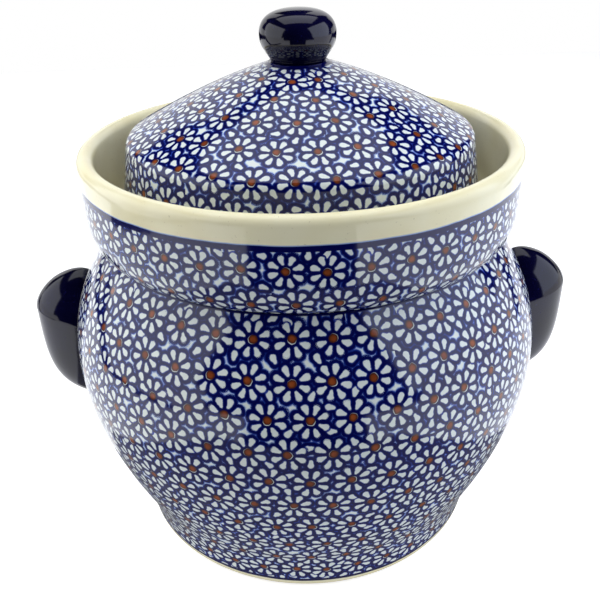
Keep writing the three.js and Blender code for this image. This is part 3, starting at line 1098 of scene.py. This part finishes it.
def floor_material():
    material, n, shader = new_material("studio_floor")
    shader.inputs["Base Color"].default_value = FLOOR_GREY
    shader.inputs["Roughness"].default_value = FLOOR_ROUGHNESS
    shader.inputs["Specular IOR Level"].default_value = 0.0
    shader.inputs["Emission Color"].default_value = WHITE
    n.feed(shader.inputs["Emission Strength"], n.math("MULTIPLY", n.seen(), FLOOR_GLOW))
    return material


def card_material(name, radiance):
    """A matt black card, or one that glows."""
    material, _, shader = new_material(name)
    shader.inputs["Base Color"].default_value = BLACK
    shader.inputs["Specular IOR Level"].default_value = 0.0
    shader.inputs["Emission Color"].default_value = WHITE
    shader.inputs["Emission Strength"].default_value = radiance
    return material


def dark_room(material):
    """Walls and ceiling round the set, open low at the back, with two windows higher up."""
    places = []
    for i in range(ROOM_RINGS + 1):
        tilt = math.pi / 2 * i / ROOM_RINGS
        for j in range(ROOM_COLUMNS):
            turn = 2 * math.pi * j / ROOM_COLUMNS
            flat = ROOM_RADIUS * math.cos(tilt)
            places.append((flat * math.cos(turn), flat * math.sin(turn), ROOM_RADIUS * math.sin(tilt)))
    faces = []
    for i in range(ROOM_RINGS):
        for j in range(ROOM_COLUMNS):
            from_back = abs((j + 0.5) / ROOM_COLUMNS * 360 - 90)
            if not any(a <= i < b and c <= from_back < d for a, b, c, d in ROOM_GAPS):
                faces.append(quad(i, j, ROOM_COLUMNS))
    return stage_mesh("dark_room", places, faces, material)


def card(name, corners, height, material):
    """A card that lies on the table."""
    return stage_mesh(name, [(x, y, height) for x, y in corners], [(0, 1, 2, 3)], material)


def ring_card(name, inner, outer, height, material, columns=64):
    """A ring that lies on the table."""
    places = []
    for radius in (inner, outer):
        for j in range(columns):
            turn = 2 * math.pi * j / columns
            places.append((radius * math.cos(turn), radius * math.sin(turn), height))
    return stage_mesh(name, places, tube_faces(1, columns), material)


def panel(name, x, low, high, material):
    """An upright card on the table, from one span of Y at its foot to another at its top."""
    places = [(x, low[0], 0.0), (x, low[1], 0.0), (x, high[1], PANEL_HEIGHT), (x, high[0], PANEL_HEIGHT)]
    return stage_mesh(name, places, [(0, 1, 2, 3)], material)


half = FLOOR_SIZE / 2
card("floor", [(-half, -half), (half, -half), (half, half), (-half, half)], 0.0, floor_material())
black = card_material("studio_flag", 0.0)
grey = card_material("painted_floor_shade", FLOOR_SHADE_GLOW)
# Painted shadow: a dim glow that the glaze sees round the foot in place of the floor's contact shadow
dim = card_material("painted_foot_shadow", FOOT_SHADOW_GLOW)
glow = card_material("panel_glow", PANEL_GLOW)
cards = [
    dark_room(black),
    card("card_front", [(-0.17, -0.33), (0.12, -0.33), (0.75, -2.0), (-1.05, -2.0)], 0.002, black),
    # Painted shade: a grey card that the glaze sees instead of the lit floor in front, where the jar shades
    # the floor
    card("near_floor_shade", [(-0.24, -0.33), (0.20, -0.33), (0.16, 0.0), (-0.18, 0.0)], 0.001, grey),
    card("card_edge", [(-0.60, -0.40), (-0.51, -0.36), (-0.51, 0.13), (-0.60, 0.13)], 0.002, black),
    # Painted shadow: a dim ring that the glaze sees instead of the lit floor where the jar's shadow falls
    # round its foot
    ring_card("foot_shadow_ring", 0.07, 0.135, 0.0015, dim),
    ring_card("card_far", 1.2, 2.4, 0.001, black),
    panel("panel_left", -PANEL_DISTANCE, (-0.6, 0.03), (-0.6, 0.25), glow),
    panel("gap_left", -PANEL_DISTANCE, (0.03, 0.13), (0.25, 0.37), black),
    panel("panel_right", PANEL_DISTANCE, (-0.6, 0.18), (-0.6, 0.28), glow),
    panel("gap_right", PANEL_DISTANCE, (0.18, 0.27), (0.28, 0.39), black),
]
for obj in cards:
    obj.visible_camera = False
    obj.visible_diffuse = False
    obj.visible_transmission = False
    obj.visible_volume_scatter = False
    obj.visible_shadow = False

world = bpy.data.worlds.new("studio")
bpy.context.scene.world = world
world.use_nodes = True
sky = Nodes(world.node_tree)
background = world.node_tree.nodes["Background"]
background.inputs["Color"].default_value = WHITE
sky.feed(background.inputs["Strength"], sky.math("MULTIPLY_ADD", sky.seen(), 1 - AMBIENT, AMBIENT))


def softbox(name, place, aim, size, radiance, tint=DAYLIGHT, mirrored=True, shape="RECTANGLE"):
    """A soft lamp that the camera doesn't see, and that the glaze mirrors or not."""
    light = bpy.data.lights.new(name, "AREA")
    light.shape = shape
    light.size, light.size_y = size
    light.energy = radiance * math.pi * size[0] * size[1]
    light.color = tint
    lamp = new_object(name, light)
    lamp.location = place
    lamp.rotation_euler = (Vector(aim) - Vector(place)).to_track_quat("-Z", "Y").to_euler()
    lamp.visible_camera = False
    lamp.visible_glossy = mirrored


softbox("softbox_left", (-0.95, -0.10, 0.52), AIM, (1.35, 0.85), 1.5)
softbox("softbox_right", (0.95, -0.34, 0.58), AIM, (1.35, 1.0), 1.6, COOL_LIGHT)
softbox("fill_left", (-1.05, 0.22, 0.45), AIM, (1.1, 0.8), 2.2, mirrored=False)
softbox("fill_right", (1.05, 0.15, 0.45), AIM, (1.1, 0.8), 2.4, COOL_LIGHT, mirrored=False)
softbox("softbox_top", (0.0, 0.20, 1.30), (0.0, 0.20, 0.0), (1.24, 1.0), 1.3)
softbox("fill_top", (0.0, 0.28, 1.5), (0.0, 0.15, 0.1), (2.6, 0.95), 1.6, mirrored=False)
softbox(
    "table_glow", (0.0, 0.0, 0.001), (0.0, 0.0, 1.0), (0.46, 0.46), 0.52,
    mirrored=False, shape="ELLIPSE",
)

# Camera
camera_data = bpy.data.cameras.new("camera")
camera_data.lens = LENS
camera_data.sensor_width = SENSOR_WIDTH
camera_data.clip_start = NEAREST
camera = new_object("camera", camera_data)
place = Vector((0, -DISTANCE * math.cos(ELEVATION), AIM_HEIGHT + DISTANCE * math.sin(ELEVATION)))
across = Vector((1, 0, 0))
down = Vector((0, math.cos(ELEVATION), -math.sin(ELEVATION)))
up = Vector((0, math.sin(ELEVATION), math.cos(ELEVATION)))
ahead = down * math.cos(YAW) + across * math.sin(YAW)
right = across * math.cos(YAW) - down * math.sin(YAW)
basis = Matrix((right, up, -ahead)).transposed() @ Matrix.Rotation(ROLL, 3, "Z")
pose = Matrix.Translation(place) @ basis.to_4x4()
camera.matrix_world = Matrix.Rotation(-PART_TURN, 4, "Z") @ pose
bpy.context.scene.camera = camera

bpy.context.scene.view_settings.view_transform = "Standard"
